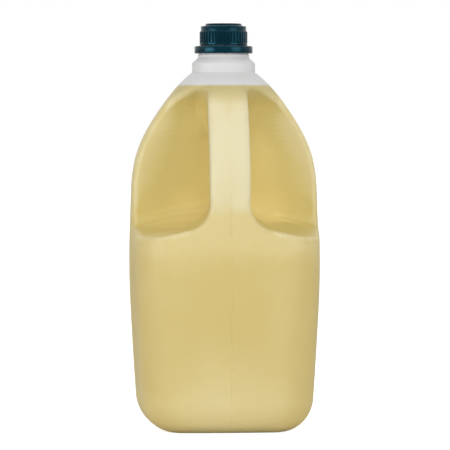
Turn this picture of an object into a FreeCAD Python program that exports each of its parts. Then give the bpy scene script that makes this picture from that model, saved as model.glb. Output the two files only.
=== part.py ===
"""Five-litre handled oil jug: a blow-moulded translucent bottle with a hollow grip at its front, the oil in
it, and a ribbed screw cap with its sealing liner and tamper-evident band.

Millimetres, +Z up, -Y is the front with the grip. The origin is on the neck axis, on the standing surface.
"""

import FreeCAD, Part
import math
import os

from FreeCAD import Vector

# Moulded body: overall size, walls and base
body_width = 153.2
body_depth = 167.0
side_radius = 450.0
wall = 1.0
base_round = 28.0
push_up_depth = 3.0
push_up_margin = 36.0
push_up_draft = 5.0

# Moulded body: rise from each level to the next, how far it is drawn in on every side, and its corner radius
foot_inset, foot_corner = 8.3, 34.0
low_rise, low_inset, low_corner = 55.0, 3.4, 34.0
waist_rise, waist_inset, waist_corner = 50.0, 0.7, 34.0
belly_rise, belly_corner = 35.0, 34.0
chest_rise, chest_inset, chest_corner = 45.0, 1.2, 35.0
hip_rise, hip_inset, hip_corner = 41.0, 6.9, 36.0
shoulder_rise, shoulder_inset, shoulder_corner = 17.0, 14.6, 38.0
dome_rise, dome_inset, dome_corner = 19.8, 27.3, 38.0
throat_rise = 26.6

# Grip recess: upright back wall, a floor that falls outwards and forwards, and a sloping roof
finger_room = 37.5
recess_roof_drop = 29.4
recess_height = 79.0
recess_floor_fall_out = 0.2
recess_floor_fall_forward = 0.155
recess_floor_steepening = 0.001
recess_roof_rise = 1.0
recess_ridge_round = 25.0
recess_floor_round = 10.0
recess_roof_round = 16.0
recess_rim_round = 5.0

# Hollow grip that stays between the two sides of the recess
grip_width = 32.0
grip_thickness = 26.0
grip_knee_drop = 28.0
grip_knee_set_back = 6.5
grip_knee_round = 45.0
grip_top_drop = 10.0
grip_top_gap = 7.0
grip_top_slope = 0.32
grip_top_round = 12.0
grip_edge_round = 9.0
grip_foot_round = 20.0
grip_root_round = 9.0

# Neck, from the collar up to the lip
collar_radius = 25.7
collar_height = 8.3
collar_wall = 1.8
collar_edge = 1.0
collar_skirt = 4.0
collar_overlap = 0.3
throat_flat = 0.4
neck_ring_radius = 20.8
neck_ring_rise = 3.9
neck_ring_height = 2.8
neck_ring_round = 0.8
neck_root_flare, neck_root_height = 0.5, 1.0
stem_radius = 19.4
bead_radius = 21.2
bead_height = 1.8
bead_land = 0.6
stem_wall = 2.0
finish_radius = 15.2
finish_wall = 2.0
finish_height = 20.0
bore_overlap = 1.0

# Screw thread, right-handed with one start
thread_lead = 4.2
thread_depth = 1.3
thread_root_width = 1.9
thread_crest_width = 0.8
thread_start = 4.0
neck_thread_turns = 1.5
cap_thread_turns = 1.0
thread_bite = 0.25
thread_crest_clearance = 0.4

# Screw cap
cap_wall = 1.6
cap_plate = 1.8
cap_disc_radius = 14.2
cap_disc_rise = 1.6
cap_disc_chamfer = 0.6
cap_shoulder_drop = 0.7
cap_plain_height = 3.7
cap_rib_depth = 0.95
cap_rib_count = 42
cap_flute_radius = 0.95
cap_flute_foot = 2.0
liner_thickness = 1.2
liner_clearance = 0.4

# Tamper-evident band below the cap
band_room = 0.9
band_wall = 1.6
band_flange = 1.5
band_edge_round = 0.7
band_clearance = 0.4
band_lip_height = 1.4
band_gap = 0.5
bridge_count = 8
bridge_width = 1.4
bridge_clearance = 0.15

# Oil
headspace = 10.4
oil_gap = 0.3

# Room by which cutting tools run past the body, the angle that makes an edge a sharp one, and how finely
# the body's curves are set out
overrun = 30.0
sharp_angle = math.radians(20.0)
side_steps, corner_steps = 4, 6
tiny = 1e-4

# Heights of the body's levels and of the neck that follow from the sizes above
low_height = low_rise
waist_height = low_height + waist_rise
belly_height = waist_height + belly_rise
chest_height = belly_height + chest_rise
hip_height = chest_height + hip_rise
shoulder_height = hip_height + shoulder_rise
dome_height = shoulder_height + dome_rise
collar_low = dome_height + throat_rise
collar_high = collar_low + collar_height
neck_ring_low = collar_high + neck_ring_rise
neck_ring_high = neck_ring_low + neck_ring_height
neck_foot = collar_low - collar_skirt
fill_height = collar_low - headspace

# Places of the recess and of the grip's bends that follow from the sizes above
recess_roof = collar_low - recess_roof_drop
recess_floor = recess_roof - recess_height
grip_inner_y = -body_depth / 2.0 + grip_thickness
recess_back_y = grip_inner_y + finger_room
grip_knee_y = grip_inner_y + grip_knee_set_back
grip_top_y = recess_back_y - grip_top_gap
grip_top_height = recess_roof - grip_top_drop
grip_knee_height = grip_top_height - grip_knee_drop

# Heights and radii of the closure that follow from the sizes above
bead_low = neck_ring_high + band_clearance + band_lip_height + band_clearance
bead_high = bead_low + bead_height
band_low = neck_ring_high + band_clearance
band_high = bead_high + 2.0 * band_clearance + band_flange
band_radius = bead_radius + band_room + band_wall
cap_low = band_high + band_gap
lip_height = neck_ring_high + finish_height
cap_ceiling = lip_height + liner_thickness
cap_plate_top = cap_ceiling + cap_plate
cap_bore = finish_radius + thread_depth + thread_crest_clearance
cap_root_radius = cap_bore + cap_wall
cap_radius = cap_root_radius + cap_rib_depth


def arc_points(centre_x, centre_y, radius, start, end, steps):
    """Points along an arc, without its last one."""
    angles = [start + (end - start) * step / steps for step in range(steps)]
    return [(centre_x + radius * math.cos(angle), centre_y + radius * math.sin(angle)) for angle in angles]


def rounded_section(height, half_x, half_y, corner, bow):
    """A rounded rectangle with bowed sides at one height, as one closed curve that starts at the back."""
    reach = bow - corner
    spread = math.hypot(bow - half_x, bow - half_y)
    lift = math.sqrt(reach**2 - spread**2 / 4.0)
    centre_x = (half_x - bow) / 2.0 + lift * (bow - half_y) / spread
    centre_y = (half_y - bow) / 2.0 + lift * (bow - half_x) / spread
    back_turn = math.atan2(centre_y - half_y + bow, centre_x)
    side_turn = math.atan2(centre_y, centre_x - half_x + bow)
    quarter = arc_points(0, half_y - bow, bow, math.pi / 2.0, back_turn, side_steps)
    quarter += arc_points(centre_x, centre_y, corner, back_turn, side_turn, corner_steps)
    quarter += arc_points(half_x - bow, 0, bow, side_turn, 0.0, side_steps)
    right = quarter + [(half_x, 0)] + [(x, -y) for x, y in reversed(quarter)]
    ring = right + [(-x, y) for x, y in reversed(right[1:-1])]
    curve = Part.BSplineCurve()
    curve.interpolate([Vector(x, y, height) for x, y in ring], PeriodicFlag=True)
    return Part.Wire(curve.toShape())


def sharp_edges(shape):
    """Edges of a solid at which its two faces meet at more than the sharp angle."""
    found = []
    for edge in shape.Edges:
        faces = shape.ancestorsOfType(edge, Part.Face)
        if len(faces) != 2:
            continue
        middle = edge.valueAt((edge.FirstParameter + edge.LastParameter) / 2.0)
        normals = [face.normalAt(*face.Surface.parameter(middle)) for face in faces]
        if normals[0].getAngle(normals[1]) > sharp_angle:
            found.append(edge)
    return found


def revolve(points):
    """A solid of revolution about the neck axis from (radius, height) points."""
    corners = [Vector(radius, 0, height) for radius, height in points]
    profile = Part.Face(Part.makePolygon(corners + corners[:1]))
    return profile.revolve(Vector(0, 0, 0), Vector(0, 0, 1), 360.0)


def one_solid(shape):
    """The single solid of a shape that may come wrapped in a compound."""
    solids = shape.Solids
    if len(solids) != 1:
        raise ValueError(f"one solid expected, {len(solids)} found")
    return solids[0]


def hull_form(inset):
    """The whole body before the recess is cut, drawn in by inset on every side."""
    levels = [
        (inset, foot_inset, foot_corner),
        (low_height, low_inset, low_corner),
        (waist_height, waist_inset, waist_corner),
        (belly_height, 0.0, belly_corner),
        (chest_height, chest_inset, chest_corner),
        (hip_height, hip_inset, hip_corner),
        (shoulder_height, shoulder_inset, shoulder_corner),
        (dome_height, dome_inset, dome_corner),
    ]
    sections = []
    for height, drawn_in, corner in levels:
        half_x = body_width / 2.0 - drawn_in - inset
        half_y = body_depth / 2.0 - drawn_in - inset
        sections.append(rounded_section(height, half_x, half_y, corner - inset, side_radius - inset))
    throat = collar_radius - collar_overlap - inset
    corner = throat - throat_flat / 2.0
    sections.append(rounded_section(collar_low, throat, throat, corner, side_radius - inset))
    hull = one_solid(Part.makeLoft(sections, True, False))
    foot_edges = [edge for edge in hull.Edges if edge.BoundBox.ZMax < inset + tiny]
    return one_solid(hull.makeFillet(base_round - inset, foot_edges))


def push_up(inset):
    """The shallow hollow under the base that leaves a standing ring, grown by inset."""
    half_x = body_width / 2.0 - foot_inset - push_up_margin + inset
    half_y = body_depth / 2.0 - foot_inset - push_up_margin + inset
    mouth = rounded_section(-tiny, half_x, half_y, half_x / 2.0, side_radius)
    top_x, top_y = half_x - push_up_draft, half_y - push_up_draft
    top = rounded_section(push_up_depth + inset, top_x, top_y, top_x / 2.0, side_radius)
    return Part.makeLoft([mouth, top], True, True)


def recess_block(inset):
    """The space in front of the recess's back wall, between its floor and roof, grown by inset."""
    half_span = body_width / 2.0 + overrun
    back_y = recess_back_y + inset
    front_y = -body_depth / 2.0 - overrun
    profiles = []
    for plane_y in (back_y, front_y):
        forward = back_y - plane_y
        peak = recess_floor - inset - recess_floor_fall_forward * forward
        fall_out = recess_floor_fall_out + recess_floor_steepening * forward
        side = peak - fall_out * half_span
        roof = recess_roof + inset + recess_roof_rise * forward
        corners = [
            Vector(-half_span, plane_y, side),
            Vector(0, plane_y, peak),
            Vector(half_span, plane_y, side),
            Vector(half_span, plane_y, roof),
            Vector(-half_span, plane_y, roof),
        ]
        profiles.append(Part.makePolygon(corners + corners[:1]))
    block = one_solid(Part.makeLoft(profiles, True, True))
    ridge = [edge for edge in block.Edges if max(-edge.BoundBox.XMin, edge.BoundBox.XMax) < tiny]
    block = one_solid(block.makeFillet(recess_ridge_round + inset, ridge))

    def back_edges(above):
        """The back wall's edges with the roof, or with the floor."""
        middle = (recess_floor + recess_roof) / 2.0
        return [
            edge
            for edge in block.Edges
            if edge.BoundBox.YMin > back_y - tiny
            and edge.BoundBox.XLength > tiny
            and (edge.BoundBox.Center.z > middle) == above
        ]

    block = one_solid(block.makeFillet(recess_roof_round + inset, back_edges(True)))
    return one_solid(block.makeFillet(recess_floor_round + inset, back_edges(False)))


def grip_column(inset):
    """The bar that the recess leaves standing as the grip, drawn in by inset and run past the front."""
    low = recess_floor - 2.0 * overrun
    high = recess_roof + recess_roof_rise * (body_depth / 2.0 + overrun) + overrun
    front_y = -body_depth / 2.0 - 2.0 * overrun
    end_y = recess_back_y + grip_edge_round
    end_height = grip_top_height + grip_top_slope * (end_y - grip_top_y)
    corners = [
        Vector(0, front_y, low),
        Vector(0, grip_inner_y, low),
        Vector(0, grip_knee_y, grip_knee_height),
        Vector(0, grip_top_y, grip_top_height),
        Vector(0, end_y, end_height),
        Vector(0, end_y, high),
        Vector(0, front_y, high),
    ]
    outline = Part.makePolygon(corners + corners[:1])
    if inset > 0:
        outline = outline.makeOffset2D(-inset, 2, False, False)
    half_width = grip_width / 2.0 - inset
    side = Part.Face(outline)
    side.translate(Vector(-half_width, 0, 0))
    column = side.extrude(Vector(2.0 * half_width, 0, 0))
    inner_limit = grip_inner_y - 2.0 * inset - tiny

    def bend_edge(height):
        """The edge across the grip's inner side that lies nearest a height."""
        across = [edge for edge in column.Edges if edge.BoundBox.XLength > tiny]
        inner = [edge for edge in across if edge.BoundBox.YMin > inner_limit]
        return min(inner, key=lambda edge: abs(edge.BoundBox.ZMin - height))

    column = one_solid(column.makeFillet(grip_knee_round, [bend_edge(grip_knee_height)]))
    column = one_solid(column.makeFillet(grip_top_round, [bend_edge(grip_top_height)]))
    long_edges = [
        edge
        for edge in column.Edges
        if edge.BoundBox.XLength < tiny
        and edge.BoundBox.YMin > inner_limit
        and edge.BoundBox.YMax < end_y + tiny
        and edge.BoundBox.ZMax < end_height + tiny
    ]
    return one_solid(column.makeFillet(grip_edge_round - inset, long_edges))


def recess_tool(inset):
    """The recess space around the grip, with its inner corners rounded, grown by inset."""
    tool = one_solid(recess_block(inset).cut(grip_column(inset)))
    half_width = grip_width / 2.0 - inset
    front_y = -body_depth / 2.0 - overrun
    middle = (recess_floor + recess_roof) / 2.0

    def junction(above):
        """Sharp edges where the grip meets the recess's floor, or its back wall and roof."""
        return [
            edge
            for edge in sharp_edges(tool)
            if max(-edge.BoundBox.XMin, edge.BoundBox.XMax) < half_width + tiny
            and edge.BoundBox.YMax > front_y + tiny
            and (edge.BoundBox.Center.z > middle) == above
        ]

    tool = one_solid(tool.makeFillet(grip_foot_round + inset, junction(False)))
    return one_solid(tool.makeFillet(grip_root_round + inset, junction(True)))


def jug_form(inset):
    """The jug's form below its collar: inset 0 is the outside, inset equal to the wall is the cavity."""
    form = one_solid(hull_form(inset).cut(recess_tool(inset)))
    rim = [
        edge
        for edge in sharp_edges(form)
        if edge.BoundBox.ZMax < collar_low - tiny and edge.BoundBox.ZMin > base_round
    ]
    form = one_solid(form.makeFillet(recess_rim_round - inset, rim))
    return one_solid(form.cut(push_up(inset)))


def thread_ridge(base_radius, crest_radius, turns, start_height):
    """One right-handed helical ridge of trapezoid section between two radii."""
    helix = Part.makeHelix(thread_lead, thread_lead * turns, (base_radius + crest_radius) / 2.0)
    half_root = thread_root_width / 2.0
    half_crest = thread_crest_width / 2.0
    corners = [
        Vector(base_radius, 0, -half_root),
        Vector(crest_radius, 0, -half_crest),
        Vector(crest_radius, 0, half_crest),
        Vector(base_radius, 0, half_root),
    ]
    section = Part.makePolygon(corners + corners[:1])
    ridge = Part.Wire(helix.Edges).makePipeShell([section], True, True)
    ridge.translate(Vector(0, 0, start_height))
    return one_solid(ridge)


def neck_solid():
    """Collar, carrying ring, retaining bead and threaded finish, before the bore is cut."""
    profile = [
        (0, neck_foot),
        (collar_radius, neck_foot),
        (collar_radius, collar_high - collar_edge),
        (collar_radius - collar_edge, collar_high),
        (neck_ring_radius + neck_root_flare, neck_ring_low - neck_root_height),
        (neck_ring_radius, neck_ring_low),
        (neck_ring_radius, neck_ring_high - neck_ring_round),
        (neck_ring_radius - neck_ring_round, neck_ring_high),
        (stem_radius, neck_ring_high),
        (stem_radius, bead_low),
        (bead_radius, bead_low),
        (bead_radius, bead_low + bead_land),
        (stem_radius, bead_high),
        (finish_radius, bead_high),
        (finish_radius, lip_height),
        (0, lip_height),
    ]
    start = cap_low + thread_start
    ridge = thread_ridge(finish_radius - thread_bite, finish_radius + thread_depth, neck_thread_turns, start)
    return revolve(profile).fuse(ridge)


def neck_bore():
    """The way through the neck, from inside the body to the lip."""
    finish_bore = finish_radius - finish_wall
    stem_bore = stem_radius - stem_wall
    collar_bore = collar_radius - collar_wall
    profile = [
        (0, neck_foot - bore_overlap),
        (collar_bore, neck_foot - bore_overlap),
        (collar_bore, collar_high - collar_edge - collar_wall / 2.0),
        (stem_bore, neck_ring_low),
        (stem_bore, bead_high - 2.0 * stem_wall),
        (finish_bore, bead_high - stem_wall / 2.0),
        (finish_bore, lip_height + tiny),
        (0, lip_height + tiny),
    ]
    return revolve(profile)


def make_bottle():
    """The one-piece blow-moulded jug with its hollow grip and threaded neck."""
    outside = jug_form(0.0).fuse(neck_solid())
    inside = jug_form(wall).fuse(neck_bore())
    return one_solid(outside.cut(inside).removeSplitter())


def make_oil():
    """The oil in the jug, up to its level, held clear of the wall."""
    reach = body_width + body_depth
    below = Part.makeBox(2.0 * reach, 2.0 * reach, fill_height, Vector(-reach, -reach, 0))
    return one_solid(jug_form(wall + oil_gap).common(below))


def make_cap():
    """The screw cap: raised disc, sloping shoulder, fluted skirt and inner thread."""
    rim_height = cap_plate_top - cap_shoulder_drop
    plain_low = rim_height - cap_plain_height
    disc_top = cap_plate_top + cap_disc_rise
    profile = [
        (0, cap_ceiling),
        (cap_bore, cap_ceiling),
        (cap_bore, cap_low),
        (cap_radius, cap_low),
        (cap_radius, plain_low - cap_rib_depth),
        (cap_root_radius, plain_low),
        (cap_root_radius, rim_height),
        (cap_disc_radius + cap_disc_chamfer, cap_plate_top),
        (cap_disc_radius + cap_disc_chamfer, disc_top - cap_disc_chamfer),
        (cap_disc_radius, disc_top),
        (0, disc_top),
    ]
    shell = revolve(profile)
    flute_low = cap_low + cap_flute_foot
    flute_length = plain_low - flute_low + overrun
    flute = Part.makeCylinder(cap_flute_radius, flute_length, Vector(cap_radius, 0, flute_low))
    flutes = []
    for index in range(cap_rib_count):
        copy = flute.copy()
        copy.rotate(Vector(0, 0, 0), Vector(0, 0, 1), 360.0 * index / cap_rib_count)
        flutes.append(copy)
    shell = shell.cut(flutes)
    start = cap_low + thread_start - thread_lead / 2.0
    ridge = thread_ridge(cap_bore + thread_bite, cap_bore - thread_depth, cap_thread_turns, start)
    return one_solid(shell.fuse(ridge))


def make_liner():
    """The foam wad in the cap that seals on the lip."""
    radius = cap_bore - liner_clearance
    return Part.makeCylinder(radius, liner_thickness, Vector(0, 0, lip_height))


def make_band():
    """The band that stays on the neck, hooked under the bead, with the stubs of its breakable bridges."""
    inner = band_radius - band_wall
    lip_radius = stem_radius + band_clearance
    flange_radius = finish_radius + thread_depth + band_clearance
    lip_high = band_low + band_lip_height
    profile = [
        (lip_radius, band_low),
        (band_radius - band_edge_round, band_low),
        (band_radius, band_low + band_edge_round),
        (band_radius, band_high - band_edge_round),
        (band_radius - band_edge_round, band_high),
        (flange_radius, band_high),
        (flange_radius, band_high - band_flange),
        (inner, band_high - band_flange),
        (inner, lip_high),
        (lip_radius, lip_high),
    ]
    band = revolve(profile)
    bridges = []
    for index in range(bridge_count):
        bridge = Part.makeBox(
            cap_wall,
            bridge_width,
            band_gap - bridge_clearance + band_edge_round,
            Vector(cap_bore, -bridge_width / 2.0, band_high - band_edge_round),
        )
        bridge.rotate(Vector(0, 0, 0), Vector(0, 0, 1), 360.0 * index / bridge_count)
        bridges.append(bridge)
    return one_solid(band.fuse(bridges))


def main():
    """Builds each piece and writes it as its own file."""
    os.makedirs("parts", exist_ok=True)
    pieces = {
        "bottle": make_bottle,
        "oil": make_oil,
        "screw_cap": make_cap,
        "cap_liner": make_liner,
        "tamper_band": make_band,
    }
    for name, make in pieces.items():
        shape = make()
        if not shape.isValid():
            raise ValueError(f"{name} isn't a valid solid")
        shape.exportStep(f"parts/{name}.step")
        print(f"{name}: {shape.Volume / 1000.0:.1f} cm3, top at {shape.optimalBoundingBox().ZMax:.2f} mm")


main()
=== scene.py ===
"""Looks of a handled five-litre oil jug: a milky wall over golden oil, and a dark teal screw cap and band."""

import logging
import math
from dataclasses import dataclass, field
from enum import Enum
from typing import Callable, Iterable

import bpy
from mathutils import Matrix, Vector
from mathutils.bvhtree import BVHTree

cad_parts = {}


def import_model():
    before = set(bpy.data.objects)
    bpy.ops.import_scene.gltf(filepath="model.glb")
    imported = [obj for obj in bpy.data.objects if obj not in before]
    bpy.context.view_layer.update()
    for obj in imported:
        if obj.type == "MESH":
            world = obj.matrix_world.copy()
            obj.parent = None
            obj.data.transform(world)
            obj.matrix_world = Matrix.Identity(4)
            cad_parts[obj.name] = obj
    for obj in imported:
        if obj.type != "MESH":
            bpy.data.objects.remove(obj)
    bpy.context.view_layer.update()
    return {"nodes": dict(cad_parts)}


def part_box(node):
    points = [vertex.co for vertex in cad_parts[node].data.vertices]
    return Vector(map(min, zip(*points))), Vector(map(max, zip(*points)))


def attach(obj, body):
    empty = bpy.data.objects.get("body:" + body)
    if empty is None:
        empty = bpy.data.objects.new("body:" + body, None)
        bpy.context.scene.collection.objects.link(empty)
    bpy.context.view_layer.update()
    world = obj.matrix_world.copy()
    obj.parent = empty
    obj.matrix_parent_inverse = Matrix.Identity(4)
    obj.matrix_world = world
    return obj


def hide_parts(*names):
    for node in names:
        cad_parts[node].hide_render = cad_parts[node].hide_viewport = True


LOG = logging.getLogger("oil_jug")
MILLIMETRE = 0.001
MERGE_DISTANCE = 0.002 * MILLIMETRE
SMOOTH_ANGLE = math.radians(38.0)
WHITE = (1.0, 1.0, 1.0, 1.0)
FULL_SPAN = (0.0, 1.0)
NOISE_SPAN = (0.3, 0.7)
GRAIN_SPAN = (0.2, 0.8)

Colour = tuple[float, float, float]
Span = tuple[float, float]
Socket = bpy.types.NodeSocket


class Body(Enum):
    """The moving bodies of the frame that pieces ride on."""

    BOTTLE = "bottle"
    LINER = "liner"
    CAP = "cap"
    BAND = "band"


class Slot(Enum):
    """The record's material slots."""

    WALL = "natural_polyethylene"
    OIL = "massage_oil"
    CLOSURE = "teal_plastic"
    FOAM = "liner_foam"


def deselect_all() -> None:
    """Leaves edit mode if needed and deselects every object."""
    if bpy.context.object is not None and bpy.context.object.mode != "OBJECT":
        bpy.ops.object.mode_set(mode="OBJECT")
    bpy.ops.object.select_all(action="DESELECT")


def make_active(piece: bpy.types.Object) -> None:
    """Selects one object alone and makes it the active one."""
    deselect_all()
    piece.select_set(True)
    bpy.context.view_layer.objects.active = piece


def merged_copy(node: bpy.types.Object, name: str) -> bpy.types.Object:
    """Copies a CAD node into a new piece whose loose triangles are joined at their corners.

    Args:
        node: The CAD node's object, which stays as it is.
        name: The new piece's name.

    Returns:
        The new piece, at the origin, with no parent and no material.
    """
    piece = bpy.data.objects.new(name, node.data.copy())
    bpy.context.scene.collection.objects.link(piece)
    piece.matrix_world = Matrix.Identity(4)
    piece.data.materials.clear()
    make_active(piece)
    if piece.data.has_custom_normals:
        bpy.ops.mesh.customdata_custom_splitnormals_clear()
    bpy.ops.object.mode_set(mode="EDIT")
    bpy.ops.mesh.select_all(action="SELECT")
    bpy.ops.mesh.remove_doubles(threshold=MERGE_DISTANCE)
    bpy.ops.object.mode_set(mode="OBJECT")
    return piece


def select_vertices(piece: bpy.types.Object, test: Callable[[bpy.types.MeshVertex], bool]) -> int:
    """Selects the vertices that pass a test, and nothing else, in object mode.

    Args:
        piece: The piece whose vertices are tested.
        test: Says whether a vertex is wanted.

    Returns:
        How many vertices were selected.
    """
    mesh = piece.data
    mesh.polygons.foreach_set("select", [False] * len(mesh.polygons))
    mesh.edges.foreach_set("select", [False] * len(mesh.edges))
    wanted = [test(vertex) for vertex in mesh.vertices]
    mesh.vertices.foreach_set("select", wanted)
    mesh.update()
    return sum(wanted)


def add_node(tree: bpy.types.NodeTree, kind: str, **settings) -> bpy.types.Node:
    """Adds a shader node and sets its properties.

    Args:
        tree: The node tree.
        kind: The node's type name.
        settings: Properties set on the node.

    Returns:
        The new node.
    """
    node = tree.nodes.new(kind)
    for name, value in settings.items():
        setattr(node, name, value)
    return node


class Finish:
    """A procedural material with a Principled shader, made once and shared by its pieces."""

    def __init__(self, name: str) -> None:
        """Makes the material and its empty shader tree."""
        self.material = bpy.data.materials.new(name)
        self.material.use_nodes = True
        self.tree = self.material.node_tree
        self.shader = self.tree.nodes["Principled BSDF"]
        self.output = self.tree.nodes["Material Output"]
        self.place = add_node(self.tree, "ShaderNodeTexCoord").outputs["Object"]

    def link(self, source: Socket, target: Socket) -> None:
        """Joins an output socket to an input socket."""
        self.tree.links.new(source, target)

    def noise(self, scale: float, detail: float) -> Socket:
        """A noise value on Object coordinates.

        Args:
            scale: Cycles per metre.
            detail: Octaves.

        Returns:
            The noise's value socket.
        """
        node = add_node(self.tree, "ShaderNodeTexNoise")
        node.inputs["Scale"].default_value = scale
        node.inputs["Detail"].default_value = detail
        self.link(self.place, node.inputs["Vector"])
        return node.outputs["Fac"]

    def attribute(self, name: str) -> Socket:
        """The value socket of one of the mesh's own attributes."""
        return add_node(self.tree, "ShaderNodeAttribute", attribute_name=name).outputs["Fac"]

    def combine(self, operation: str, first: Socket, second=None) -> Socket:
        """A sum, product or other combination of one or two values.

        Args:
            operation: The operation's name.
            first: The first value's socket.
            second: The second value, as a socket or a number, if the operation takes one.

        Returns:
            The result's socket.
        """
        node = add_node(self.tree, "ShaderNodeMath", operation=operation)
        self.link(first, node.inputs[0])
        if isinstance(second, Socket):
            self.link(second, node.inputs[1])
        elif second is not None:
            node.inputs[1].default_value = second
        return node.outputs[0]

    def map_range(self, value: Socket, old: Span, new: Span = FULL_SPAN) -> Socket:
        """A value moved from one range to another, smoothly and clamped.

        Args:
            value: The value socket.
            old: Start and end of the old range.
            new: Start and end of the new range.

        Returns:
            The moved value's socket.
        """
        node = add_node(self.tree, "ShaderNodeMapRange", interpolation_type="SMOOTHSTEP")
        for name, number in zip(("From Min", "From Max", "To Min", "To Max"), (*old, *new)):
            node.inputs[name].default_value = number
        self.link(value, node.inputs["Value"])
        return node.outputs["Result"]

    def mix(self, share: Socket, first, second) -> Socket:
        """A mix of two colours, each a socket or three numbers.

        Args:
            share: The value socket for the second colour's share.
            first: Colour at share 0.
            second: Colour at share 1.

        Returns:
            The mixed colour's socket.
        """
        node = add_node(self.tree, "ShaderNodeMix", data_type="RGBA", blend_type="MIX")
        self.link(share, node.inputs[0])
        for socket, colour in ((node.inputs[6], first), (node.inputs[7], second)):
            if isinstance(colour, Socket):
                self.link(colour, socket)
            else:
                socket.default_value = (*colour, 1.0)
        return node.outputs[2]

    def bump(self, heights: Iterable[tuple[Socket, float]]) -> None:
        """Chains bumps into the shader's normal.

        Args:
            heights: Pairs of a height socket and its distance in metres.
        """
        normal = None
        for height, distance in heights:
            node = add_node(self.tree, "ShaderNodeBump")
            node.inputs["Strength"].default_value = 1.0
            node.inputs["Distance"].default_value = distance
            self.link(height, node.inputs["Height"])
            if normal is not None:
                self.link(normal, node.inputs["Normal"])
            normal = node.outputs["Normal"]
        self.link(normal, self.shader.inputs["Normal"])

    def dress(self, piece: bpy.types.Object) -> None:
        """Puts the finish on every face of a piece."""
        piece.data.materials.clear()
        piece.data.materials.append(self.material)


@dataclass(frozen=True)
class MilkyWallTint:
    """Colours of the moulded wall, among them painted shade, painted light and painted highlights, the spans
    over which they take over, and how its surface takes light.
    """

    dry: Colour = (0.74, 0.74, 0.735)
    thin: Colour = (0.80, 0.74, 0.485)
    thick: Colour = (0.74, 0.62, 0.285)
    thick_depths: Span = (0.45, 0.82)
    deep: Colour = (0.68, 0.54, 0.205)
    deep_depths: Span = (0.82, 1.0)
    # Painted shade: a darker, deeper gold laid on the wall in the grip's recesses, where the grip and walls
    # keep light out.
    painted_recess_shade: Colour = (0.67, 0.53, 0.165)
    recess_shade_shelter: Span = (0.05, 0.3)
    recess_shade_shares: Span = (0.0, 0.85)
    # Painted light: a paler gold laid on the most enclosed parts of the recesses, standing in for light that
    # comes through the wall into them.
    painted_recess_light: Colour = (0.96, 0.79, 0.33)
    recess_light_shelter: Span = (0.22, 0.85)
    recess_light_shares: Span = (0.0, 0.85)
    low_glow: Colour = (0.82, 0.73, 0.42)
    glow_heights: Span = (0.01, 0.09)
    glow_shares: Span = (0.45, 0.0)
    glow_half_widths: Span = (0.01, 0.07)
    # Painted highlight along sharply curved convex rims, together with the paler plastic pinched at them.
    pale_rim_and_highlight: Colour = (0.93, 0.87, 0.60)
    rim_turns: Span = (50.0, 170.0)
    pale_rim_and_highlight_shares: Span = (0.0, 0.6)
    surface_line: Colour = (0.57, 0.475, 0.21)
    line_heights: Span = (-18.0 * MILLIMETRE, -1.0 * MILLIMETRE)
    line_shares: Span = (0.0, 0.85)
    level_heights: Span = (-1.6 * MILLIMETRE, 1.0 * MILLIMETRE)
    cloud_scale: float = 18.0
    cloud_drift: float = 0.035
    roughness: float = 0.42
    roughness_spread: float = 0.06
    gloss: float = 0.28
    grain_scale: float = 900.0
    grain_height: float = 0.02 * MILLIMETRE
    ripple_scale: float = 55.0
    ripple_height: float = 0.25 * MILLIMETRE
    translucent_share: float = 0.15


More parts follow.
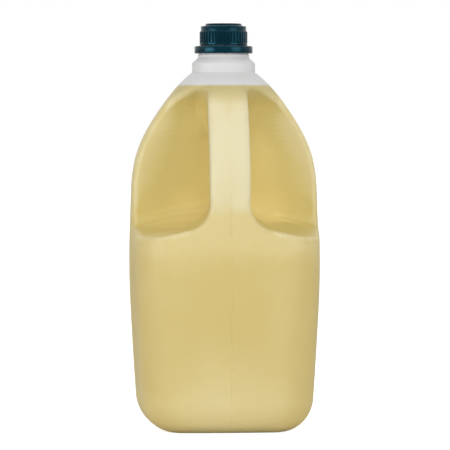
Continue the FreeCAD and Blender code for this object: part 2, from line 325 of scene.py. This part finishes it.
class MilkyWall(Finish):
    """Natural polyethylene: milky where it's dry and tinted by the oil behind it below the oil's level, with
    painted shade and painted light in the grip's recesses, painted light low down, and painted highlights on
    its rims.
    """

    DEPTH = "oil_depth"
    SHELTER = "shelter"
    RIM = "pale_rim_and_highlight"

    def __init__(self, fill_height: float, tint: MilkyWallTint = MilkyWallTint()) -> None:
        """Builds the wall's shader.

        Args:
            fill_height: Height of the oil's surface, in metres.
            tint: The wall's colours.
        """
        super().__init__("milky_wall")
        place = add_node(self.tree, "ShaderNodeSeparateXYZ")
        self.link(self.place, place.inputs[0])
        oil_tint_and_painted_light = self.mix_in_glow(self.oil_colour(tint), place, tint)
        # Painted highlight on sharply curved convex rims, with the paler pinched plastic there, by how
        # sharply the wall turns.
        edge = self.map_range(self.attribute(self.RIM), tint.rim_turns, tint.pale_rim_and_highlight_shares)
        oil_tint_and_painted_light = self.mix(edge, oil_tint_and_painted_light, tint.pale_rim_and_highlight)
        above = self.combine("SUBTRACT", place.outputs["Z"], fill_height)
        oil_tint_and_painted_light = self.mix(self.map_range(above, tint.line_heights, tint.line_shares), oil_tint_and_painted_light, tint.surface_line)
        colour = self.mix(self.map_range(above, tint.level_heights), oil_tint_and_painted_light, tint.dry)
        self.link(colour, self.shader.inputs["Base Color"])
        self.roughen(tint)
        self.let_light_through(colour, tint.translucent_share)

    def oil_colour(self, tint: MilkyWallTint) -> Socket:
        """The wall's colour over oil by the oil's depth, with painted shade in the grip's recesses and
        painted light in their most enclosed parts.

        Args:
            tint: The wall's colours.

        Returns:
            The colour's socket.
        """
        clouds = self.noise(tint.cloud_scale, 4.0)
        drift = self.map_range(clouds, NOISE_SPAN, (-tint.cloud_drift, tint.cloud_drift))
        depth = self.combine("ADD", self.attribute(self.DEPTH), drift)
        oil_tint_and_painted_light = self.mix(self.map_range(depth, tint.thick_depths), tint.thin, tint.thick)
        oil_tint_and_painted_light = self.mix(self.map_range(depth, tint.deep_depths), oil_tint_and_painted_light, tint.deep)
        shelter = self.attribute(self.SHELTER)
        # Painted shade in the recesses, by how much of the view out the jug blocks.
        recess_shade_share = self.map_range(shelter, tint.recess_shade_shelter, tint.recess_shade_shares)
        # Painted light on the most enclosed parts of the recesses, laid over the painted shade.
        recess_light_share = self.map_range(shelter, tint.recess_light_shelter, tint.recess_light_shares)
        return self.mix(recess_light_share, self.mix(recess_shade_share, oil_tint_and_painted_light, tint.painted_recess_shade), tint.painted_recess_light)

    def mix_in_glow(self, oil_tint_and_painted_light: Socket, place: bpy.types.Node, tint: MilkyWallTint) -> Socket:
        """Lightens the middle of the wall low down, where light comes up from the floor.

        Args:
            oil_tint_and_painted_light: The colour's socket before the glow.
            place: The node that splits the place into X, Y and Z.
            tint: The wall's colours.

        Returns:
            The colour's socket with the glow.
        """
        across = self.combine("ABSOLUTE", place.outputs["X"])
        by_height = self.map_range(place.outputs["Z"], tint.glow_heights, tint.glow_shares)
        glow = self.combine("MULTIPLY", by_height, self.map_range(across, tint.glow_half_widths, (1.0, 0.0)))
        return self.mix(glow, oil_tint_and_painted_light, tint.low_glow)

    def roughen(self, tint: MilkyWallTint) -> None:
        """Gives the wall its gloss, a fine grain and the slow ripple of a blow moulding."""
        grain = self.noise(tint.grain_scale, 2.0)
        spread = (tint.roughness - tint.roughness_spread, tint.roughness + tint.roughness_spread)
        self.link(self.map_range(grain, GRAIN_SPAN, spread), self.shader.inputs["Roughness"])
        self.shader.inputs["Specular IOR Level"].default_value = tint.gloss
        ripple = self.noise(tint.ripple_scale, 2.0)
        self.bump(((ripple, tint.ripple_height), (grain, tint.grain_height)))

    def let_light_through(self, colour: Socket, share: float) -> None:
        """Lets a share of the light pass through the wall in its own colour."""
        through = add_node(self.tree, "ShaderNodeBsdfTranslucent")
        self.link(colour, through.inputs["Color"])
        both = add_node(self.tree, "ShaderNodeMixShader")
        both.inputs["Fac"].default_value = share
        self.link(self.shader.outputs[0], both.inputs[1])
        self.link(through.outputs[0], both.inputs[2])
        self.link(both.outputs[0], self.output.inputs["Surface"])


@dataclass(frozen=True)
class ClosureTint:
    """Colours of the moulded closure and how shiny it is."""

    low: Colour = (0.0003, 0.010, 0.017)
    high: Colour = (0.0006, 0.015, 0.025)
    flow_scale: float = 90.0
    sheen: Colour = (0.18, 0.74, 1.0)
    roughness: Span = (0.16, 0.28)
    gloss: float = 0.28
    grain_scale: float = 2200.0
    grain_height: float = 0.012 * MILLIMETRE


class ClosurePlastic(Finish):
    """Dark teal injection-moulded plastic with a fine grain and faint flow marks."""

    def __init__(self, tint: ClosureTint = ClosureTint()) -> None:
        """Builds the closure's shader.

        Args:
            tint: The closure's colours.
        """
        super().__init__("teal_closure")
        flow = self.map_range(self.noise(tint.flow_scale, 3.0), NOISE_SPAN)
        self.link(self.mix(flow, tint.low, tint.high), self.shader.inputs["Base Color"])
        grain = self.noise(tint.grain_scale, 2.0)
        self.link(self.map_range(grain, GRAIN_SPAN, tint.roughness), self.shader.inputs["Roughness"])
        self.shader.inputs["Specular IOR Level"].default_value = tint.gloss
        self.shader.inputs["Specular Tint"].default_value = (*tint.sheen, 1.0)
        self.bump(((grain, tint.grain_height),))


@dataclass(frozen=True)
class FoamTint:
    """Colours of the liner's foam and the size of its cells."""

    low: Colour = (0.72, 0.72, 0.70)
    high: Colour = (0.83, 0.83, 0.81)
    roughness: float = 0.8
    cell_scale: float = 1500.0
    cell_height: float = 0.05 * MILLIMETRE


class LinerFoam(Finish):
    """White closed-cell foam."""

    def __init__(self, tint: FoamTint = FoamTint()) -> None:
        """Builds the foam's shader.

        Args:
            tint: The foam's colours.
        """
        super().__init__("liner_foam")
        cells = self.noise(tint.cell_scale, 2.0)
        shade = self.mix(self.map_range(cells, NOISE_SPAN), tint.low, tint.high)
        self.link(shade, self.shader.inputs["Base Color"])
        self.shader.inputs["Roughness"].default_value = tint.roughness
        self.bump(((cells, tint.cell_height),))


@dataclass(frozen=True)
class OilTint:
    """Colours of the oil, on its surface and through its depth, and how it bends light."""

    low: Colour = (0.97, 0.93, 0.78)
    high: Colour = (0.98, 0.95, 0.82)
    wisp_scale: float = 25.0
    roughness: float = 0.03
    bending: float = 1.05
    through: Colour = (0.92, 0.80, 0.40)
    density: float = 9.0


class OilLiquid(Finish):
    """Clear golden massage oil that tints light by its depth."""

    def __init__(self, tint: OilTint = OilTint()) -> None:
        """Builds the oil's shader and its absorption.

        Args:
            tint: The oil's colours.
        """
        super().__init__("massage_oil")
        wisps = self.map_range(self.noise(tint.wisp_scale, 2.0), NOISE_SPAN)
        self.link(self.mix(wisps, tint.low, tint.high), self.shader.inputs["Base Color"])
        self.shader.inputs["Roughness"].default_value = tint.roughness
        self.shader.inputs["IOR"].default_value = tint.bending
        self.shader.inputs["Transmission Weight"].default_value = 1.0
        absorb = add_node(self.tree, "ShaderNodeVolumeAbsorption")
        absorb.inputs["Color"].default_value = (*tint.through, 1.0)
        absorb.inputs["Density"].default_value = tint.density
        self.link(absorb.outputs[0], self.output.inputs["Volume"])


@dataclass
class Jug:
    """The blow-moulded bottle with its hollow grip: a wall with a mould seam, tinted by the oil behind it,
    and the masks for its painted shade, light and highlights.
    """

    node: bpy.types.Object
    oil: bpy.types.Object
    fill_height: float
    longest_edge: float = 7.0 * MILLIMETRE
    refine_rounds: int = 4
    seam_half_width: float = 0.9 * MILLIMETRE
    seam_rise: float = 0.35 * MILLIMETRE
    seam_low: float = 1.0 * MILLIMETRE
    seam_top: float = 0.284
    grip_foot: float = 0.196
    crest_width: float = 0.002 * MILLIMETRE
    least_wall: float = 0.8 * MILLIMETRE
    entry_reach: float = 12.0 * MILLIMETRE
    ray_step: float = 0.01 * MILLIMETRE
    surface_margin: float = 0.1 * MILLIMETRE
    depth_scale: float = 42.0 * MILLIMETRE
    depth_spread: float = 0.7
    depth_rays: int = 5
    shelter_start: float = 0.5 * MILLIMETRE
    shelter_reach: float = 150.0 * MILLIMETRE
    shelter_spreads: Span = (0.6, 1.5)
    shelter_rays: tuple[int, int] = (5, 6)
    floor_gain: float = 0.7
    blur_rounds: int = 4
    oil_tree: BVHTree = field(init=False)
    wall_tree: BVHTree = field(init=False)

    def __post_init__(self) -> None:
        """Indexes the oil's surface for the ray casts."""
        mesh = self.oil.data
        corners = [vertex.co.copy() for vertex in mesh.vertices]
        faces = [tuple(polygon.vertices) for polygon in mesh.polygons]
        self.oil_tree = BVHTree.FromPolygons(corners, faces)

    def build(self, finish: MilkyWall) -> bpy.types.Object:
        """Makes the wall, its seam and its oil depths, and dresses it.

        Args:
            finish: The wall's finish.

        Returns:
            The finished piece.
        """
        piece = merged_copy(self.node, "jug_wall")
        self.refine(piece)
        self.cut_seam(piece)
        self.wall_tree = BVHTree.FromObject(piece, bpy.context.evaluated_depsgraph_get())
        points = [(vertex.co.copy(), vertex.normal.copy()) for vertex in piece.data.vertices]
        self.store(piece, finish.DEPTH, [self.depth_at(place, normal) for place, normal in points])
        self.store(piece, finish.SHELTER, [self.shelter_at(place, normal) for place, normal in points])
        self.store(piece, finish.RIM, self.rim_turns(piece))
        self.raise_seam(piece)
        make_active(piece)
        bpy.ops.object.shade_smooth_by_angle(angle=SMOOTH_ANGLE)
        finish.dress(piece)
        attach(piece, Body.BOTTLE.value)
        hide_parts(self.node.name)
        return piece

    def refine(self, piece: bpy.types.Object) -> None:
        """Splits long edges, so that the oil's tint has points enough to change smoothly."""
        for _ in range(self.refine_rounds):
            mesh = piece.data
            places = [vertex.co for vertex in mesh.vertices]
            mesh.vertices.foreach_set("select", [False] * len(mesh.vertices))
            mesh.polygons.foreach_set("select", [False] * len(mesh.polygons))
            long_edges = []
            for edge in mesh.edges:
                first, second = edge.vertices
                long_edges.append((places[first] - places[second]).length > self.longest_edge)
            mesh.edges.foreach_set("select", long_edges)
            if not any(long_edges):
                break
            make_active(piece)
            bpy.ops.object.mode_set(mode="EDIT")
            bpy.ops.mesh.select_mode(type="EDGE")
            bpy.ops.mesh.subdivide(number_cuts=1)
            bpy.ops.mesh.select_all(action="SELECT")
            bpy.ops.mesh.quads_convert_to_tris(quad_method="BEAUTY", ngon_method="BEAUTY")
            bpy.ops.object.mode_set(mode="OBJECT")

    def is_outside(self, place: Vector) -> bool:
        """True if a point of the wall is on its outer face, and not on the face that the oil wets."""
        nearest = self.oil_tree.find_nearest(place)
        return nearest[0] is not None and nearest[3] > self.least_wall

    def cut_seam(self, piece: bpy.types.Object) -> None:
        """Cuts the wall along both flanks and the crest of the mould seam."""
        make_active(piece)
        for offset in (-self.seam_half_width, 0.0, self.seam_half_width):
            bpy.ops.object.mode_set(mode="EDIT")
            bpy.ops.mesh.select_mode(type="VERT")
            bpy.ops.mesh.select_all(action="SELECT")
            bpy.ops.mesh.bisect(plane_co=(offset, 0.0, 0.0), plane_no=(1.0, 0.0, 0.0), threshold=1e-6)
            bpy.ops.object.mode_set(mode="OBJECT")

    def raise_seam(self, piece: bpy.types.Object) -> None:
        """Raises the fine ridge that the two mould halves leave round the jug's middle plane."""

        def on_crest(vertex: bpy.types.MeshVertex) -> bool:
            """True for an outer point of the middle plane, up to the grip in front or the collar behind."""
            top = self.grip_foot if vertex.co.y < 0.0 else self.seam_top
            upright = self.seam_low < vertex.co.z < top
            return upright and abs(vertex.co.x) < self.crest_width and self.is_outside(vertex.co)

        make_active(piece)
        LOG.info("seam points raised: %d", select_vertices(piece, on_crest))
        bpy.ops.object.mode_set(mode="EDIT")
        bpy.ops.transform.shrink_fatten(value=self.seam_rise)
        bpy.ops.object.mode_set(mode="OBJECT")

    @staticmethod
    def fan(axis: Vector, spread: float, count: int) -> list[Vector]:
        """A ring of unit directions round an axis.

        Args:
            axis: The axis, of unit length.
            spread: How far the ring leans from the axis, as a tangent.
            count: How many directions.

        Returns:
            The directions.
        """
        side = axis.orthogonal().normalized()
        other = axis.cross(side)
        turns = [2.0 * math.pi * step / count for step in range(count)]
        leans = [math.cos(turn) * side + math.sin(turn) * other for turn in turns]
        return [(axis + spread * lean).normalized() for lean in leans]

    def depth_at(self, place: Vector, normal: Vector) -> float:
        """How much oil lies behind a point of the wall, from 0 for none to 1 for a great depth."""
        total = 0.0
        directions = [-normal, *self.fan(-normal, self.depth_spread, self.depth_rays)]
        for direction in directions:
            entry = self.oil_tree.ray_cast(place, direction, self.entry_reach)
            if entry[0] is None:
                continue
            leave = self.oil_tree.ray_cast(entry[0] + direction * self.ray_step, direction)
            if leave[0] is None:
                continue
            at_surface = leave[0].z > self.fill_height - self.surface_margin
            total += 1.0 if at_surface else 1.0 - math.exp(-leave[3] / self.depth_scale)
        return total / len(directions)

    def shelter_at(self, place: Vector, normal: Vector) -> float:
        """How much of the view out from a point the jug blocks, from 0 to 1, and more on a floor."""
        directions = [normal]
        for spread, count in zip(self.shelter_spreads, self.shelter_rays):
            directions.extend(self.fan(normal, spread, count))
        start = place + normal * self.shelter_start
        blocked = 0
        for direction in directions:
            blocked += self.wall_tree.ray_cast(start, direction, self.shelter_reach)[0] is not None
        return min(1.0, blocked / len(directions) * (1.0 + self.floor_gain * max(normal.z, 0.0)))

    @staticmethod
    def rim_turns(piece: bpy.types.Object) -> list[float]:
        """How sharply the wall turns outwards at each point, in turns per metre."""
        mesh = piece.data
        sums = [0.0] * len(mesh.vertices)
        runs = [1e-9] * len(mesh.vertices)
        for edge in mesh.edges:
            first, second = (mesh.vertices[index] for index in edge.vertices)
            run = second.co - first.co
            length = max(run.length, 1e-9)
            bend = (second.normal - first.normal).dot(run) / length
            for vertex in (first, second):
                sums[vertex.index] += bend
                runs[vertex.index] += length
        return [total / length for total, length in zip(sums, runs)]

    def store(self, piece: bpy.types.Object, name: str, values: list[float]) -> None:
        """Blurs values along the surface and writes them to a mesh attribute.

        Args:
            piece: The piece that gets the attribute.
            name: The attribute's name.
            values: One value for each point.
        """
        mesh = piece.data
        pairs = [tuple(edge.vertices) for edge in mesh.edges]
        for _ in range(self.blur_rounds):
            sums = list(values)
            counts = [1] * len(values)
            for first, second in pairs:
                sums[first] += values[second]
                sums[second] += values[first]
                counts[first] += 1
                counts[second] += 1
            values = [total / count for total, count in zip(sums, counts)]
        attribute = mesh.attributes.new(name, "FLOAT", "POINT")
        attribute.data.foreach_set("value", values)


@dataclass
class Contents:
    """The oil that fills the jug up to its level."""

    node: bpy.types.Object

    def build(self, finish: OilLiquid) -> bpy.types.Object:
        """Makes the oil with smooth faces and dresses it.

        Args:
            finish: The oil's finish.

        Returns:
            The finished piece.
        """
        piece = merged_copy(self.node, "oil_filling")
        make_active(piece)
        bpy.ops.object.shade_smooth_by_angle(angle=SMOOTH_ANGLE)
        finish.dress(piece)
        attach(piece, Body.BOTTLE.value)
        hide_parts(self.node.name)
        return piece


@dataclass
class Closure:
    """The screw cap, its band and its liner."""

    cap: bpy.types.Object
    band: bpy.types.Object
    liner: bpy.types.Object
    edge_round: float = 0.22 * MILLIMETRE
    edge_steps: int = 2
    flat_angle: float = math.radians(2.0)
    sharp_angle: float = math.radians(32.0)

    def soften(self, node: bpy.types.Object, name: str) -> bpy.types.Object:
        """Copies a node and rounds its sharp edges as a mould would.

        Args:
            node: The CAD node.
            name: The new piece's name.

        Returns:
            The rounded piece.
        """
        piece = merged_copy(node, name)
        make_active(piece)
        bpy.ops.object.mode_set(mode="EDIT")
        bpy.ops.mesh.select_all(action="SELECT")
        bpy.ops.mesh.dissolve_limited(angle_limit=self.flat_angle)
        bpy.ops.object.mode_set(mode="OBJECT")
        rounding = piece.modifiers.new("rounding", "BEVEL")
        rounding.width = self.edge_round
        rounding.segments = self.edge_steps
        rounding.limit_method = "ANGLE"
        rounding.angle_limit = self.sharp_angle
        rounding.use_clamp_overlap = True
        bpy.ops.object.modifier_apply(modifier=rounding.name)
        bpy.ops.object.shade_smooth_by_angle(angle=self.sharp_angle)
        return piece

    def build(self, plastic: ClosurePlastic, foam: LinerFoam) -> list[bpy.types.Object]:
        """Makes the three pieces and dresses them.

        Args:
            plastic: The finish of the cap and the band.
            foam: The liner's finish.

        Returns:
            The finished pieces.
        """
        made = []
        plan = (
            (self.cap, "ribbed_cap", Body.CAP, Slot.CLOSURE, plastic),
            (self.band, "tear_off_band", Body.BAND, Slot.CLOSURE, plastic),
            (self.liner, "sealing_wad", Body.LINER, Slot.FOAM, foam),
        )
        for node, name, body, slot, finish in plan:
            piece = self.soften(node, name)
            finish.dress(piece)
            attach(piece, body.value)
            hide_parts(node.name)
            made.append(piece)
        return made


@dataclass(frozen=True)
class SoftLamp:
    """A rectangular lamp: place and size in metres, power in watts, and whether glossy faces mirror it."""

    name: str
    place: tuple[float, float, float]
    size: Span
    watts: float
    mirrored: bool = True


@dataclass
class Studio:
    """White floor and backdrop, soft lamps, and the camera at the photograph's angle."""

    picture_width: float = 0.3672
    azimuth: float = -4.2
    elevation: float = 2.0
    distance: float = 2.6
    aim: tuple[float, float, float] = (0.0012, 0.0, 0.1650)
    sensor_width: float = 36.0
    farthest: float = 100.0
    floor_size: float = 30.0
    floor_low: Colour = (0.93, 0.93, 0.93)
    floor_high: Colour = (0.95, 0.95, 0.95)
    floor_mottle_scale: float = 3.0
    floor_roughness: float = 0.9
    floor_level: float = 0.8
    world_level: float = 0.40
    lamps: tuple[SoftLamp, ...] = (
        SoftLamp("key_lamp", (-2.12, -1.13, 0.32), (1.5, 0.5), 19.5),
        SoftLamp("fill_lamp", (1.73, -1.67, 0.42), (1.5, 0.7), 14.0),
        SoftLamp("top_lamp", (0.3, -0.7, 2.1), (1.6, 1.2), 13.0),
        SoftLamp("front_lamp", (-0.2, -2.8, 0.6), (1.4, 1.4), 15.0, mirrored=False),
    )

    def white_floor(self) -> None:
        """Adds the floor, which is white to the camera and keeps the jug's shadow."""
        deselect_all()
        bpy.ops.mesh.primitive_plane_add(size=self.floor_size, location=(0.0, 0.0, 0.0))
        floor = bpy.context.object
        floor.name = "studio_floor"
        finish = Finish("studio_white")
        mottle = finish.map_range(finish.noise(self.floor_mottle_scale, 3.0), NOISE_SPAN)
        shade = finish.mix(mottle, self.floor_low, self.floor_high)
        finish.link(shade, finish.shader.inputs["Base Color"])
        finish.shader.inputs["Roughness"].default_value = self.floor_roughness
        finish.shader.inputs["Specular IOR Level"].default_value = 0.0
        finish.shader.inputs["Emission Color"].default_value = WHITE
        paths = add_node(finish.tree, "ShaderNodeLightPath").outputs
        seen = finish.combine("MULTIPLY", paths["Is Camera Ray"], self.floor_level)
        finish.link(seen, finish.shader.inputs["Emission Strength"])
        finish.dress(floor)

    def sky(self) -> None:
        """Lights the scene evenly and shows plain white behind it."""
        world = bpy.data.worlds.new("studio_sky")
        bpy.context.scene.world = world
        world.use_nodes = True
        tree = world.node_tree
        background = tree.nodes["Background"]
        background.inputs["Color"].default_value = WHITE
        paths = add_node(tree, "ShaderNodeLightPath").outputs
        level = paths["Is Camera Ray"]
        for name in ("Is Transmission Ray", "Is Glossy Ray"):
            either = add_node(tree, "ShaderNodeMath", operation="MAXIMUM")
            tree.links.new(level, either.inputs[0])
            tree.links.new(paths[name], either.inputs[1])
            level = either.outputs[0]
        strength = add_node(tree, "ShaderNodeMath", operation="MAXIMUM")
        tree.links.new(level, strength.inputs[0])
        strength.inputs[1].default_value = self.world_level
        tree.links.new(strength.outputs[0], background.inputs["Strength"])

    def light(self, plan: SoftLamp) -> None:
        """Adds one soft lamp, aimed at the jug."""
        data = bpy.data.lights.new(plan.name, "AREA")
        data.shape = "RECTANGLE"
        data.size, data.size_y = plan.size
        data.energy = plan.watts
        lamp = bpy.data.objects.new(plan.name, data)
        bpy.context.scene.collection.objects.link(lamp)
        lamp.location = plan.place
        lamp.rotation_euler = (Vector(self.aim) - Vector(plan.place)).to_track_quat("-Z", "Y").to_euler()
        lamp.visible_glossy = plan.mirrored

    def camera(self) -> None:
        """Adds the camera, a long lens a little left of the grip."""
        data = bpy.data.cameras.new("studio_camera")
        data.sensor_width = self.sensor_width
        data.lens = self.sensor_width * self.distance / self.picture_width
        data.clip_end = self.farthest
        camera = bpy.data.objects.new("studio_camera", data)
        bpy.context.scene.collection.objects.link(camera)
        turn, tilt = math.radians(self.azimuth), math.radians(self.elevation)
        away = Vector((math.sin(turn) * math.cos(tilt), -math.cos(turn) * math.cos(tilt), math.sin(tilt)))
        camera.location = Vector(self.aim) + away * self.distance
        camera.rotation_euler = (-away).to_track_quat("-Z", "Y").to_euler()
        bpy.context.scene.camera = camera

    def build(self) -> None:
        """Sets up the whole studio."""
        self.white_floor()
        self.sky()
        for plan in self.lamps:
            self.light(plan)
        self.camera()
        bpy.context.scene.view_settings.view_transform = "Standard"


def main() -> None:
    """Builds the pieces in order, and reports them."""
    logging.basicConfig(level=logging.INFO, format="%(name)s: %(message)s")
    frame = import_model()
    nodes = frame["nodes"]
    fill_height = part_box("oil")[1][2]
    Studio().build()
    pieces = [Jug(nodes["bottle"], nodes["oil"], fill_height).build(MilkyWall(fill_height))]
    pieces.append(Contents(nodes["oil"]).build(OilLiquid()))
    closure = Closure(nodes["screw_cap"], nodes["tamper_band"], nodes["cap_liner"])
    pieces.extend(closure.build(ClosurePlastic(), LinerFoam()))
    for piece in pieces:
        LOG.info("%s: %d faces", piece.name, len(piece.data.polygons))
    deselect_all()


if __name__ == "__main__":
    main()
